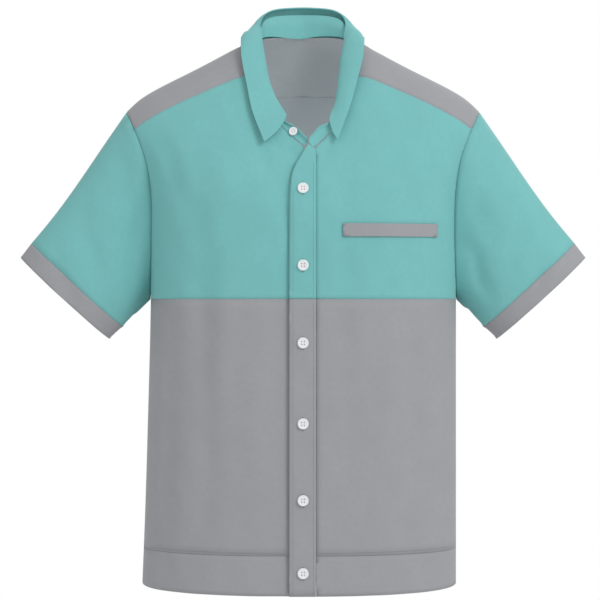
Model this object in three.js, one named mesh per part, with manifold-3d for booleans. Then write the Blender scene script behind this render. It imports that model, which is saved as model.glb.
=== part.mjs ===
// Short-sleeved two-colour shirt with a shirt collar and a full button placket, filled out as if worn.
// Millimetres. +X is the wearer's left, +Y the wearer's back, +Z up.
// The origin is the middle of the neck, level with the place where the collar meets the shoulders.
import * as THREE from "three";
import { mergeVertices } from "three/addons/utils/BufferGeometryUtils.js";
import Module from "manifold-3d";

const wasm = await Module();
wasm.setup();

// ---------- driving dimensions ----------
const CLOTH = 1.4; // wall of a single panel
const BAND_CLOTH = 1.8; // wall of a doubled piece: cuffs, hem bands, placket
const COLLAR_CLOTH = 1.5;
const SEAM_GAP = 0.4; // clearance between neighbouring pieces
const OVERLAY_GAP = 0.4; // clearance under a piece that lies on a panel

const RIDGE_Y = 5; // where the shoulder line runs, front to back
const TURN_RADIUS = 25; // drop over which the cloth turns across the shoulder line
const SLOPE_POWER = 1.5; // how fast the chest and back swell below the shoulder line

const WAIST_SEAM_Z = -334; // seam between the upper and lower colour
const BAND_SEAM = { z: -654, dip: 3.5 }; // seam above the hem band, lower at the middle of the front
const HEM = { z: -701, dip: 7.5 };

const PLACKET_RIGHT = 16.4; // the edge of the placket that is sewn to the wearer's left front
const PLACKET_TOP = { free: -137, sewn: -144.5 }; // height of its top end at its two edges
const PLACKET_LIFT = 0.9; // how far the placket stands proud of the left front
const TUCK = { depth: 4.6, start: -40, end: -18 }; // where the right front sinks under the placket

const WELT = { inner: 50, outer: 170, top: -238.7, bottom: -255.5 };
const BUTTON = { radius: 7.1, thick: 2.6, rim: 1.3, dish: 0.6, hole: 0.85, holeOffset: 1.7 };
const COLLAR_BUTTON = { radius: 5.6, thick: 2.2, rim: 1.0, dish: 0.5, hole: 0.7, holeOffset: 1.35 };
const BUTTON_Z = [-195, -291.5, -389.3, -491, -587.5, -679.1];
const BUTTON_SIDES = 22;

const CUFF = { x: 309, y: -4, z: -333, half: 78.5, innerHalf: 80.5, depth: 43, width: 23.5, tilt: 47.5 };
const CURVED_GAP = 0.5; // drawn back at a curved seam whose two pieces have different steps
const SLEEVE_GAP = 0.9; // wider than a flat seam because the sleeve turns down sharply at the shoulder
const SLEEVE_DIP = 0.5; // how much the sleeve dips behind the armhole seam before it fills out

const TEAL = 0x76b9b8;
const GREY = 0x9d9ea2;
const WHITE = 0xf2f3f5;

// How many steps each seam is cut into. Pieces that share a curved seam share its steps.
const STEPS = {
  frontAcross: 11, placketEdge: 8, neckFront: 6, armholeBack: 9, tip: 6, lower: 7, backAcross: 18,
  neckBack: 9, yokeDepth: 7, sleeve: 5, collar: 40, stand: 3, leaf: 5,
};

// ---------- tables ----------
// Level sections of the body: half-widths to the wearer's right and left, depths, and roundness.
// Above the waist seam the half-widths are those of a wider form that the armholes cut short.
const SECTIONS = [
  { z: -725, right: 210, left: 199, front: 112, back: 106, power: 2.5 },
  { z: -600, right: 205, left: 199, front: 112, back: 102, power: 2.5 },
  { z: -460, right: 201, left: 199, front: 112, back: 96, power: 2.5 },
  { z: -334, right: 198, left: 199, front: 114, back: 100, power: 2.5 },
  { z: -250, right: 199.5, left: 200, front: 116, back: 106, power: 2.5 },
  { z: -190, right: 204, left: 205, front: 116, back: 109, power: 2.5 },
  { z: -150, right: 219, left: 220, front: 115, back: 109, power: 2.5 },
  { z: -116, right: 244, left: 245, front: 114, back: 108, power: 2.5 },
  { z: -60, right: 279, left: 280, front: 113, back: 105, power: 2.5 },
  { z: 60, right: 310, left: 310, front: 112, back: 100, power: 2.5 },
];
// Height of the shoulder line, and how deep and how sharply the cloth falls away from it.
const SHOULDER = [
  { x: 0, ridge: 27, frontDrop: 270, backDrop: 170, frontTurn: 0.12, backTurn: 0.4 },
  { x: 40, ridge: 15, frontDrop: 255, backDrop: 168, frontTurn: 0.12, backTurn: 0.36 },
  { x: 66, ridge: 3, frontDrop: 230, backDrop: 165, frontTurn: 0.13, backTurn: 0.31 },
  { x: 79, ridge: -1.5, frontDrop: 218, backDrop: 160, frontTurn: 0.15, backTurn: 0.29 },
  { x: 134, ridge: -31, frontDrop: 165, backDrop: 135, frontTurn: 0.2, backTurn: 0.27 },
  { x: 195, ridge: -62, frontDrop: 115, backDrop: 108, frontTurn: 0.27, backTurn: 0.28 },
  { x: 218, ridge: -77, frontDrop: 100, backDrop: 98, frontTurn: 0.3, backTurn: 0.3 },
  { x: 230, ridge: -90, frontDrop: 92, backDrop: 92, frontTurn: 0.32, backTurn: 0.32 },
  { x: 245, ridge: -110, frontDrop: 88, backDrop: 88, frontTurn: 0.32, backTurn: 0.32 },
];
// The armhole, from the underarm (0) up the front and up the back to the yoke (1).
const ARMHOLE_FRONT = [
  { t: 0, x: 199, z: -334 },
  { t: 0.12, x: 197, z: -308 },
  { t: 0.28, x: 195.4, z: -271 },
  { t: 0.5, x: 194.8, z: -220 },
  { t: 0.64, x: 196, z: -190 },
  { t: 0.81, x: 202.5, z: -152 },
  { t: 1, x: 216.5, z: -116 },
];
const ARMHOLE_BACK = [
  { t: 0, x: 199, z: -334 },
  { t: 0.14, x: 197, z: -306 },
  { t: 0.35, x: 195.6, z: -262 },
  { t: 0.6, x: 196.4, z: -212 },
  { t: 0.8, x: 202, z: -173 },
  { t: 1, x: 213, z: -138 },
];
const SHOULDER_TIP_X = 230;
// The yoke's seams: drop below the shoulder line in front, height at the back.
const YOKE_FRONT = [
  { x: 66, drop: 50 },
  { x: 76, drop: 47 },
  { x: 146, drop: 39.5 },
  { x: 216.5, drop: 40 },
];
const YOKE_BACK = [
  { x: 0, z: -64 },
  { x: 60, z: -67 },
  { x: 120, z: -84 },
  { x: 180, z: -114 },
  { x: 213, z: -138 },
];
// The free edge of the placket, which swings aside above the first button.
const PLACKET_EDGE = [
  { z: -725, x: -17.6 },
  { z: -230, x: -17.2 },
  { z: -192, x: -16.2 },
  { z: -177.5, x: -14.9 },
  { z: -164.5, x: -11.6 },
  { z: -155.6, x: -5 },
  { z: -146, x: 2.9 },
  { z: -134, x: 7.6 },
];
// The hidden edge of the right front, from the hem to the neck.
const UNDERLAP_EDGE = [
  { z: -725, x: 12 },
  { z: -200, x: 12 },
  { z: -160, x: 10 },
  { z: -147, x: 5 },
  { z: -140, x: -1 },
];
// The neck seam, from the middle of the back (0) to the front end (10). sway carries both front ends
// over to the wearer's left.
const NECK = [
  { s: 0, x: 0, z: 10.5, over: 1, sway: 0 },
  { s: 1, x: 33, z: 9.5, over: 1, sway: 0 },
  { s: 2, x: 52, z: 6.5, over: 1, sway: 0 },
  { s: 3, x: 62, z: 2.5, over: 1, sway: 0 },
  { s: 4, x: 67, z: -6, over: -1, sway: 0 },
  { s: 5, x: 69, z: -26, over: -1, sway: 0 },
  { s: 6, x: 65, z: -53, over: -1, sway: 1 },
  { s: 7, x: 57, z: -80, over: -1, sway: 3 },
  { s: 8, x: 44, z: -103, over: -1, sway: 5 },
  { s: 9, x: 27, z: -123, over: -1, sway: 6 },
  { s: 10, x: 8.9, z: -140, over: -1, sway: 7.5 },
];
// The line where the collar folds over.
const FOLD = [
  { s: 0, x: 0, y: 50, z: 50, sway: 0 },
  { s: 1, x: 34, y: 45, z: 47.5, sway: 0 },
  { s: 2, x: 50, y: 36, z: 40, sway: 0 },
  { s: 3, x: 56, y: 23, z: 27, sway: 0 },
  { s: 4, x: 54, y: 4, z: 8, sway: 0 },
  { s: 5, x: 49, y: -20, z: -27, sway: 0 },
  { s: 6, x: 44, y: -41, z: -57, sway: 1 },
  { s: 7, x: 38, y: -57, z: -80, sway: 4.5 },
  { s: 8, x: 29, y: -70, z: -99, sway: 7 },
  { s: 9, x: 15, y: -80, z: -115, sway: 6 },
  { s: 10, x: 1.5, y: -87, z: -130, sway: 6 },
];
// The free edge of the collar leaf as it lies over the shoulders and chest, from the middle of the
// back (0) to the point (8). lift is its height above the cloth below.
const LEAF_EDGE = [
  { s: 0, x: 0, z: 3, over: 1, sway: 0, lift: 8 },
  { s: 1, x: 40, z: 0, over: 1, sway: 0, lift: 8 },
  { s: 2, x: 63, z: -3, over: 1, sway: 0, lift: 8 },
  { s: 3, x: 75, z: -5, over: 1, sway: 0, lift: 8 },
  { s: 4, x: 78, z: -10, over: -1, sway: -0.5, lift: 8 },
  { s: 5, x: 77, z: -32, over: -1, sway: -0.8, lift: 8 },
  { s: 6, x: 71, z: -61, over: -1, sway: -2, lift: 8 },
  { s: 7, x: 61.5, z: -98, over: -1, sway: -3, lift: 8 },
  { s: 8, x: 46.6, z: -137, over: -1, sway: -2.7, lift: 8 },
];
// The leaf rolls over the fold and arches clear of the stand and the shoulders.
const LEAF_ROLL = { start: 1.2, backRise: 5, frontRise: 2, out: 9.5 };
const LEAF_ARCH = { at: 0.45, out: 13 };
const STAND_BOW = 4; // how far the stand bows in towards the neck
// How far the stand stops below the fold: further under the leaf than at its bare front ends.
const STAND_SHORT = { covered: 9.6, bare: 0.5, from: 8.3, to: 8.9 };
const STAND_SEAT = 1.8; // clearance of the stand above the neck seam
const LEAF_END = 8;
const NECK_END = 10;
const COLLAR_BUTTON_AT = { s: 9.15, up: 0.52 }; // along the stand of the wearer's right, and up it

// ---------- small tools ----------
// Smooth curve through one column of a table, by the key column.
function along(rows, key, column, at) {
  const last = rows.length - 1;
  let k = 0;
  const rising = rows[last][key] > rows[0][key];
  while (k < last - 1 && (rising ? at > rows[k + 1][key] : at < rows[k + 1][key])) k += 1;
  const slope = (a, b) => (rows[b][column] - rows[a][column]) / (rows[b][key] - rows[a][key]);
  const tangent = (i) => (i === 0 ? slope(0, 1) : i === last ? slope(last - 1, last) : slope(i - 1, i + 1));
  const span = rows[k + 1][key] - rows[k][key];
  const t = THREE.MathUtils.clamp((at - rows[k][key]) / span, 0, 1);
  const t2 = t * t;
  const t3 = t2 * t;
  return (
    (2 * t3 - 3 * t2 + 1) * rows[k][column] +
    (t3 - 2 * t2 + t) * span * tangent(k) +
    (3 * t2 - 2 * t3) * rows[k + 1][column] +
    (t3 - t2) * span * tangent(k + 1)
  );
}

const mix = THREE.MathUtils.lerp;
const steps = (count) => Array.from({ length: count + 1 }, (_, k) => k / count);

// Fills a patch between four edges that are lists of pairs, each running left to right or bottom to top.
function fillPatch(bottom, top, left, right) {
  const across = bottom.length - 1;
  const up = left.length - 1;
  return steps(across).map((s, i) =>
    steps(up).map((t, j) => {
      const value = (c) =>
        mix(bottom[i][c], top[i][c], t) +
        mix(left[j][c], right[j][c], s) -
        mix(mix(bottom[0][c], bottom[across][c], s), mix(top[0][c], top[across][c], s), t);
      return [value(0), value(1)];
    }),
  );
}

// ---------- the form of the body ----------
function halfWidth(z, side) {
  return along(SECTIONS, "z", side < 0 ? "right" : "left", z);
}

// How much of the full depth the cloth has reached at a drop below the shoulder line.
function swell(x, drop, back) {
  const reach = along(SHOULDER, "x", back ? "backDrop" : "frontDrop", Math.abs(x));
  const turn = along(SHOULDER, "x", back ? "backTurn" : "frontTurn", Math.abs(x));
  const near = 1 - THREE.MathUtils.clamp(drop / TURN_RADIUS, 0, 1);
  const far = 1 - THREE.MathUtils.clamp(drop / reach, 0, 1);
  return turn * Math.sqrt(1 - near * near) + (1 - turn) * (1 - far ** SLOPE_POWER);
}

const ridgeAt = (x) => along(SHOULDER, "x", "ridge", Math.abs(x));

// A point of the body at an angle from the middle of the front (the wearer's left is positive).
function bodyPoint(angle, z) {
  const power = along(SECTIONS, "z", "power", z);
  const sine = Math.sin(angle);
  const cosine = Math.cos(angle);
  const radius = (Math.abs(sine) ** power + Math.abs(cosine) ** power) ** (-1 / power);
  const x = halfWidth(z, sine) * radius * sine;
  const back = cosine < 0;
  const depth = along(SECTIONS, "z", back ? "back" : "front", z);
  return new THREE.Vector3(x, RIDGE_Y - depth * radius * cosine * swell(x, ridgeAt(x) - z, back), z);
}

// The angle at which the body has a given x at a height.
function angleAt(x, z, back) {
  const power = along(SECTIONS, "z", "power", z);
  const across = Math.min(Math.abs(x) / halfWidth(z, x), 1);
  const inward = (1 - across ** power) ** (1 / power);
  const angle = Math.atan2(across, back ? -inward : inward);
  return x < 0 ? -angle : angle;
}

// A point of the shoulders at x and a signed step over the shoulder line: negative in front, positive
// behind, the square root of the drop.
function shoulderPoint(x, over) {
  const drop = over * over;
  const z = ridgeAt(x) - drop;
  const back = over > 0;
  const power = along(SECTIONS, "z", "power", z);
  const inward = (1 - (Math.abs(x) / halfWidth(z, x)) ** power) ** (1 / power);
  const depth = along(SECTIONS, "z", back ? "back" : "front", z);
  return new THREE.Vector3(x, RIDGE_Y + Math.sign(over) * depth * inward * swell(x, drop, back), z);
}

const overAt = (x, z, sign) => sign * Math.sqrt(Math.max(ridgeAt(x) - z, 0));

// How far the wearer's right front sinks to pass under the placket.
function tuckAt(x) {
  return TUCK.depth * THREE.MathUtils.smoothstep(x, TUCK.start, TUCK.end);
}

function sagAt(line, angle) {
  return line.z - line.dip * Math.max(Math.cos(angle), 0);
}

// ---------- seams ----------
// One place on a table that lies over the shoulders, as x and the step over the shoulder line.
function overTable(rows, s, side) {
  const withOver = rows.map((row) => ({ s: row.s, over: overAt(row.x, row.z, row.over) }));
  const x = along(rows, "s", "x", s) * side + along(rows, "s", "sway", s);
  return { x, over: along(withOver, "s", "over", s) };
}

function neckAt(s, side) {
  return overTable(NECK, s, side);
}

// Where the front seam of the yoke runs into the neck.
function neckCorner(side) {
  let low = 4.5;
  let high = 7;
  for (let k = 0; k < 40; k += 1) {
    const middle = (low + high) / 2;
    const { x, over } = neckAt(middle, side);
    if (over * over < along(YOKE_FRONT, "x", "drop", Math.abs(x))) low = middle;
    else high = middle;
  }
  return (low + high) / 2;
}

const CORNER = { [-1]: neckCorner(-1), [1]: neckCorner(1) };
const shoulderSpot = (spot) => [spot.x, spot.over];

// The front seam of the yoke, from the neck outwards, as x and the step over the shoulder line.
function yokeFrontSeam(side) {
  const inner = Math.abs(neckAt(CORNER[side], side).x);
  return steps(STEPS.frontAcross).map((t) => {
    const x = mix(inner, ARMHOLE_FRONT.at(-1).x, t);
    return [side * x, -Math.sqrt(along(YOKE_FRONT, "x", "drop", x))];
  });
}

// The armhole as x and z, from the underarm up.
function armhole(rows, count, side) {
  return steps(count).map((t) => {
    const z = along(rows, "t", "z", t);
    const x = t === 0 ? halfWidth(WAIST_SEAM_Z, side) : along(rows, "t", "x", t);
    return [side * x, z];
  });
}

// The same seam over the shoulder tip, from the front corner of the yoke to its back corner.
function tipSeam(side) {
  const front = ARMHOLE_FRONT.at(-1);
  const back = ARMHOLE_BACK.at(-1);
  const start = overAt(front.x, front.z, -1);
  const end = overAt(back.x, back.z, 1);
  return steps(STEPS.tip).map((t) => {
    const over = mix(start, end, t);
    const bow = over < 0 ? 1 - (over / start) ** 2 : 1 - (over / end) ** 2;
    const base = over < 0 ? front.x : back.x;
    return [side * mix(base, SHOULDER_TIP_X, bow), over];
  });
}

const toAngle = ([x, z], back) => [angleAt(x, z, back), z];
const overToAngle = ([x, over], back) => toAngle([x, ridgeAt(x) - over * over], back);
const ARMHOLE_FRONT_STEPS = STEPS.placketEdge + STEPS.neckFront;

// ---------- solids ----------
function closedMesh(name, positions, triangles, colour, roughness) {
  const geometry = new THREE.BufferGeometry();
  geometry.setAttribute("position", new THREE.Float32BufferAttribute(positions, 3));
  geometry.setIndex(triangles);
  geometry.computeVertexNormals();
  const material = new THREE.MeshStandardMaterial({ color: colour, roughness, metalness: 0 });
  const mesh = new THREE.Mesh(geometry, material);
  mesh.name = name;
  return mesh;
}

// The outward normals of a grid of points, whose columns run so that across × up points outwards.
function gridNormals(points, wrap, flip) {
  const across = points.length;
  const up = points[0].length;
  return points.map((column, i) =>
    column.map((_, j) => {
      const before = wrap ? points[(i + across - 1) % across][j] : points[Math.max(i - 1, 0)][j];
      const after = wrap ? points[(i + 1) % across][j] : points[Math.min(i + 1, across - 1)][j];
      const du = after.clone().sub(before);
      const dv = column[Math.min(j + 1, up - 1)].clone().sub(column[Math.max(j - 1, 0)]);
      return du.cross(dv).normalize().multiplyScalar(flip ? -1 : 1);
    }),
  );
}

// Draws each edge of a grid back from its seam. gaps holds left, right, bottom and top.
function drawBack(points, wrap, gaps) {
  const lastColumn = points.length - 1;
  const lastRow = points[0].length - 1;
  const step = (from, to, distance) => to.clone().sub(from).setLength(distance);
  const moves = points.map((column, i) =>
    column.map((point, j) => {
      const move = new THREE.Vector3();
      if (!wrap && i === 0) move.add(step(point, points[1][j], gaps.left));
      if (!wrap && i === lastColumn) move.add(step(point, points[i - 1][j], gaps.right));
      if (j === 0) move.add(step(point, column[1], gaps.bottom));
      if (j === lastRow) move.add(step(point, column[j - 1], gaps.top));
      return move;
    }),
  );
  return points.map((column, i) => column.map((point, j) => point.clone().add(moves[i][j])));
}

// A cloth wall whose outer face is a grid of points.
function clothWall(name, points, options) {
  const { wall, colour, wrap = false, flip = false, lift = () => 0, gaps = {} } = options;
  const half = SEAM_GAP / 2;
  const normals = gridNormals(points, wrap, flip);
  const drawn = drawBack(points, wrap, { left: half, right: half, bottom: half, top: half, ...gaps });
  const columns = points.length;
  const rows = points[0].length;
  const positions = [];
  for (const depth of [0, -wall]) {
    drawn.forEach((column, i) =>
      column.forEach((point, j) => {
        const place = point.clone().addScaledVector(normals[i][j], depth + lift(point));
        positions.push(place.x, place.y, place.z);
      }),
    );
  }
  const at = (face, i, j) => face * columns * rows + (i % columns) * rows + j;
  const triangles = [];
  const quad = (a, b, c, d) => {
    if (flip) triangles.push(a, c, b, a, d, c);
    else triangles.push(a, b, c, a, c, d);
  };
  const lastColumn = wrap ? columns : columns - 1;
  for (let i = 0; i < lastColumn; i += 1) {
    for (let j = 0; j < rows - 1; j += 1) {
      quad(at(0, i, j), at(0, i + 1, j), at(0, i + 1, j + 1), at(0, i, j + 1));
      quad(at(1, i, j), at(1, i, j + 1), at(1, i + 1, j + 1), at(1, i + 1, j));
    }
    quad(at(1, i, 0), at(1, i + 1, 0), at(0, i + 1, 0), at(0, i, 0));
    quad(at(0, i, rows - 1), at(0, i + 1, rows - 1), at(1, i + 1, rows - 1), at(1, i, rows - 1));
  }
  if (!wrap) {
    for (let j = 0; j < rows - 1; j += 1) {
      quad(at(1, 0, j), at(0, 0, j), at(0, 0, j + 1), at(1, 0, j + 1));
      quad(at(0, lastColumn, j), at(1, lastColumn, j), at(1, lastColumn, j + 1), at(0, lastColumn, j + 1));
    }
  }
  return closedMesh(name, positions, triangles, colour, 0.9);
}

const onBody = (patch) => patch.map((column) => column.map(([angle, z]) => bodyPoint(angle, z)));
const mirrorOrder = (patch, side) => (side < 0 ? patch.slice().reverse() : patch);
const sideName = (side) => (side < 0 ? "right" : "left");
const frontLift = (side) => (side < 0 ? (point) => -tuckAt(point.x) : () => 0);
const frontEdgeX = (side, z) => (side < 0 ? along(UNDERLAP_EDGE, "z", "x", z) : PLACKET_RIGHT);

// ---------- pieces ----------
// The front edge and then the neck, from the waist seam up to the corner of the yoke.
function frontUpperInnerEdge(side) {
  const end = neckAt(NECK_END, side);
  const top = ridgeAt(end.x) - end.over * end.over;
  const edge = steps(STEPS.placketEdge).map((t) => {
    const z = mix(WAIST_SEAM_Z, top, t);
    return toAngle([frontEdgeX(side, z), z], false);
  });
  const neck = steps(STEPS.neckFront).map((t) => {
    const spot = neckAt(mix(NECK_END, CORNER[side], t), side);
    return overToAngle(shoulderSpot(spot), false);
  });
  return [...edge.slice(0, -1), ...neck];
}

function frontUpper(side) {
  const outer = armhole(ARMHOLE_FRONT, ARMHOLE_FRONT_STEPS, side).map((spot) => toAngle(spot, false));
  const inner = frontUpperInnerEdge(side);
  const bottom = steps(STEPS.frontAcross).map((t) => [mix(inner[0][0], outer[0][0], t), WAIST_SEAM_Z]);
  const top = yokeFrontSeam(side).map((spot) => overToAngle(spot, false));
  const patch = mirrorOrder(fillPatch(bottom, top, inner, outer), side);
  return clothWall(`front_${sideName(side)}_upper`, onBody(patch), {
    wall: CLOTH, colour: TEAL, lift: frontLift(side),
  });
}

// A patch of the body between two angles that may change with height, and two level lines.
function bodyStrip(fromAngle, toAngleAt, bottomAt, topAt, across, up) {
  return steps(across).map((s) =>
    steps(up).map((t) => {
      const middle = mix(bottomAt(0), topAt(0), t);
      const angle = mix(fromAngle(middle), toAngleAt(middle), s);
      return [angle, mix(bottomAt(angle), topAt(angle), t)];
    }),
  );
}

function frontStrip(name, side, bottomAt, topAt, up, wall) {
  const inner = (z) => angleAt(frontEdgeX(side, z), z, false);
  const outer = () => (side * Math.PI) / 2;
  const patch = mirrorOrder(bodyStrip(inner, outer, bottomAt, topAt, STEPS.frontAcross, up), side);
  return clothWall(name, onBody(patch), { wall, colour: GREY, lift: frontLift(side) });
}

const waistLine = () => WAIST_SEAM_Z;
const bandLine = (angle) => sagAt(BAND_SEAM, angle);
const hemLine = (angle) => sagAt(HEM, angle);

function frontLower(side) {
  return frontStrip(`front_${sideName(side)}_lower`, side, bandLine, waistLine, STEPS.lower, CLOTH);
}

function hemBandFront(side) {
  return frontStrip(`hem_band_front_${sideName(side)}`, side, hemLine, bandLine, 2, BAND_CLOTH);
}

const fullTurn = (angle) => (angle < 0 ? angle + 2 * Math.PI : angle);

function back() {
  const sideEdge = (side) => {
    const seam = steps(STEPS.lower).map((t) => [(side * Math.PI) / 2, mix(BAND_SEAM.z, WAIST_SEAM_Z, t)]);
    const hole = armhole(ARMHOLE_BACK, STEPS.armholeBack, side).map((spot) => toAngle(spot, true));
    return [...seam.slice(0, -1), ...hole].map(([angle, z]) => [fullTurn(angle), z]);
  };
  const left = sideEdge(1);
  const right = sideEdge(-1);
  const bottom = steps(STEPS.backAcross).map((t) => [mix(left[0][0], right[0][0], t), BAND_SEAM.z]);
  const top = yokeBackSeam().map(([x, over]) => {
    const [angle, z] = overToAngle([x, over], true);
    return [x === 0 ? Math.PI : fullTurn(angle), z];
  });
  return clothWall("back", onBody(fillPatch(bottom, top, left, right)), {
    wall: CLOTH, colour: GREY, gaps: { top: CURVED_GAP },
  });
}

// The back seam of the yoke from the wearer's left to the right.
function yokeBackSeam() {
  const reach = ARMHOLE_BACK.at(-1).x;
  return steps(STEPS.backAcross).map((t) => {
    const x = mix(reach, -reach, t);
    return [x, overAt(x, along(YOKE_BACK, "x", "z", Math.abs(x)), 1)];
  });
}

function hemBandBack() {
  const patch = bodyStrip(() => Math.PI / 2, () => 1.5 * Math.PI, hemLine, bandLine, STEPS.backAcross, 2);
  return clothWall("hem_band_back", onBody(patch), { wall: BAND_CLOTH, colour: GREY });
}

// The yoke lies over both shoulders and behind the neck. Its front edge is the two front seams with
// the neck between them.
function yoke() {
  const neck = (side) => steps(STEPS.neckBack).map((t) => shoulderSpot(neckAt(mix(CORNER[side], 0, t), side)));
  const front = [
    ...yokeFrontSeam(-1).reverse().slice(0, -1),
    ...neck(-1).slice(0, -1),
    ...neck(1).reverse().slice(0, -1),
    ...yokeFrontSeam(1),
  ];
  const reach = ARMHOLE_BACK.at(-1).x;
  const seam = steps(front.length - 1).map((t) => {
    const x = mix(-reach, reach, t);
    return [x, overAt(x, along(YOKE_BACK, "x", "z", Math.abs(x)), 1)];
  });
  const patch = fillPatch(front, seam, tipSeam(-1), tipSeam(1));
  const points = patch.map((column) => column.map(([x, over]) => shoulderPoint(x, over)));
  return clothWall("yoke", points, { wall: CLOTH, colour: GREY, gaps: { top: CURVED_GAP } });
}

// ---------- sleeves ----------
// The armhole as one loop of points, from the underarm up the front and down the back.
function armholeLoop(side) {
  const front = armhole(ARMHOLE_FRONT, ARMHOLE_FRONT_STEPS, side).map((s) => bodyPoint(...toAngle(s, false)));
  const tip = tipSeam(side).map(([x, over]) => shoulderPoint(x, over));
  const rear = armhole(ARMHOLE_BACK, STEPS.armholeBack, side).map((s) => bodyPoint(...toAngle(s, true)));
  return [...front.slice(0, -1), ...tip, ...rear.reverse().slice(1, -1)];
}

// How far round a loop each of its points lies: 0 at the underarm, 0.5 at the shoulder tip.
function loopTurns(loop) {
  const lengths = [0];
  loop.forEach((point, k) => {
    const next = loop[(k + 1) % loop.length];
    lengths.push(lengths[k] + point.distanceTo(next));
  });
  const tipAt = lengths[ARMHOLE_FRONT_STEPS + STEPS.tip / 2];
  const total = lengths.at(-1);
  return loop.map((_, k) =>
    lengths[k] < tipAt ? (0.5 * lengths[k]) / tipAt : 0.5 + (0.5 * (lengths[k] - tipAt)) / (total - tipAt),
  );
}

const CUFF_TILT = THREE.MathUtils.degToRad(CUFF.tilt);
const cuffAxis = (side) => new THREE.Vector3(side * Math.cos(CUFF_TILT), 0, -Math.sin(CUFF_TILT));
const cuffRise = (side) => new THREE.Vector3(side * Math.sin(CUFF_TILT), 0, Math.cos(CUFF_TILT));

// A point of the cuff: turn goes round it, inset is the distance up the sleeve from its edge.
function cuffPoint(side, turn, inset) {
  const half = mix(CUFF.half, CUFF.innerHalf, inset / CUFF.width);
  const angle = turn * 2 * Math.PI;
  return new THREE.Vector3(side * CUFF.x, CUFF.y, CUFF.z)
    .addScaledVector(cuffAxis(side), -inset)
    .addScaledVector(cuffRise(side), -half * Math.cos(angle))
    .add(new THREE.Vector3(0, -CUFF.depth * Math.sin(angle), 0));
}

// A sleeve's points from the cuff seam (first row) to the armhole (last row).
function sleevePoints(side) {
  const loop = armholeLoop(side);
  const turns = loopTurns(loop);
  const middleY = loop.reduce((sum, point) => sum + point.y, 0) / loop.length;
  return loop.map((start, k) => {
    const end = cuffPoint(side, turns[k], CUFF.width);
    const chord = end.clone().sub(start);
    const leave = chord.clone();
    leave.y -= SLEEVE_DIP * (start.y - middleY);
    const arrive = cuffAxis(side).multiplyScalar(chord.length());
    return steps(STEPS.sleeve).map((t) => {
      const v = 1 - t;
      const v2 = v * v;
      const v3 = v2 * v;
      return start
        .clone()
        .multiplyScalar(2 * v3 - 3 * v2 + 1)
        .addScaledVector(leave, v3 - 2 * v2 + v)
        .addScaledVector(end, 3 * v2 - 2 * v3)
        .addScaledVector(arrive, v3 - v2);
    });
  });
}

function sleeve(side) {
  return clothWall(`sleeve_${sideName(side)}`, sleevePoints(side), {
    wall: CLOTH, colour: TEAL, wrap: true, flip: side < 0, gaps: { top: SLEEVE_GAP },
  });
}

function cuff(side) {
  const turns = loopTurns(armholeLoop(side));
  const points = turns.map((turn) => [0, 0.5, 1].map((t) => cuffPoint(side, turn, t * CUFF.width)));
  return clothWall(`cuff_${sideName(side)}`, points, {
    wall: BAND_CLOTH, colour: GREY, wrap: true, flip: side < 0,
  });
}

// ---------- placket, pocket and buttons ----------
function placket(name, bottomAt, topAt, up, colour) {
  const points = steps(3).map((s) =>
    steps(up).map((t) => {
      const z = mix(bottomAt(0), topAt(s), t);
      const x = mix(along(PLACKET_EDGE, "z", "x", z), PLACKET_RIGHT, s);
      return bodyPoint(angleAt(x, z, false), z);
    }),
  );
  return clothWall(name, points, { wall: BAND_CLOTH, colour, lift: () => PLACKET_LIFT });
}

function placketPieces() {
  const top = (s) => mix(PLACKET_TOP.free, PLACKET_TOP.sewn, s);
  return [
    placket("placket_upper", waistLine, top, 12, TEAL),
    placket("placket_lower", hemLine, waistLine, 9, GREY),
  ];
}

function weltPocket() {
  const points = steps(6).map((s) =>
    [WELT.bottom, WELT.top].map((z) => bodyPoint(angleAt(mix(WELT.inner, WELT.outer, s), z, false), z)),
  );
  return clothWall("welt_pocket", points, { wall: CLOTH, colour: GREY, lift: () => OVERLAY_GAP + CLOTH + 0.3 });
}

function toSolid(geometry) {
  geometry.deleteAttribute("normal");
  geometry.deleteAttribute("uv");
  const merged = mergeVertices(geometry, 1e-4);
  return new wasm.Manifold(
    new wasm.Mesh({
      numProp: 3,
      vertProperties: new Float32Array(merged.attributes.position.array),
      triVerts: new Uint32Array(merged.index.array),
    }),
  );
}

// A button round its own axis, lying on the plane y = 0, with a dished face and four holes.
function buttonGeometry(size) {
  const profile = [
    new THREE.Vector2(0, 0),
    new THREE.Vector2(size.radius - 0.7, 0),
    new THREE.Vector2(size.radius, size.thick * 0.45),
    new THREE.Vector2(size.radius - 0.3, size.thick * 0.85),
    new THREE.Vector2(size.radius - 0.8, size.thick),
    new THREE.Vector2(size.radius - size.rim - 0.5, size.thick),
    new THREE.Vector2(size.radius - size.rim - 1.1, size.thick - size.dish),
    new THREE.Vector2(0, size.thick - size.dish),
  ];
  let solid = toSolid(new THREE.LatheGeometry(profile, BUTTON_SIDES));
  for (const [dx, dz] of [[1, 1], [1, -1], [-1, 1], [-1, -1]]) {
    const drill = new THREE.CylinderGeometry(size.hole, size.hole, size.thick * 3, 6);
    drill.translate(dx * size.holeOffset, 0, dz * size.holeOffset);
    solid = solid.subtract(toSolid(drill));
  }
  const mesh = solid.getMesh();
  const geometry = new THREE.BufferGeometry();
  geometry.setAttribute("position", new THREE.Float32BufferAttribute(mesh.vertProperties, 3));
  geometry.setIndex(Array.from(mesh.triVerts));
  geometry.computeVertexNormals();
  return geometry;
}

function buttonMesh(name, size, place, normal) {
  const material = new THREE.MeshStandardMaterial({ color: WHITE, roughness: 0.35, metalness: 0 });
  const mesh = new THREE.Mesh(buttonGeometry(size), material);
  mesh.name = name;
  mesh.quaternion.setFromUnitVectors(new THREE.Vector3(0, 1, 0), normal);
  mesh.position.copy(place).addScaledVector(normal, OVERLAY_GAP);
  return mesh;
}

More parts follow.
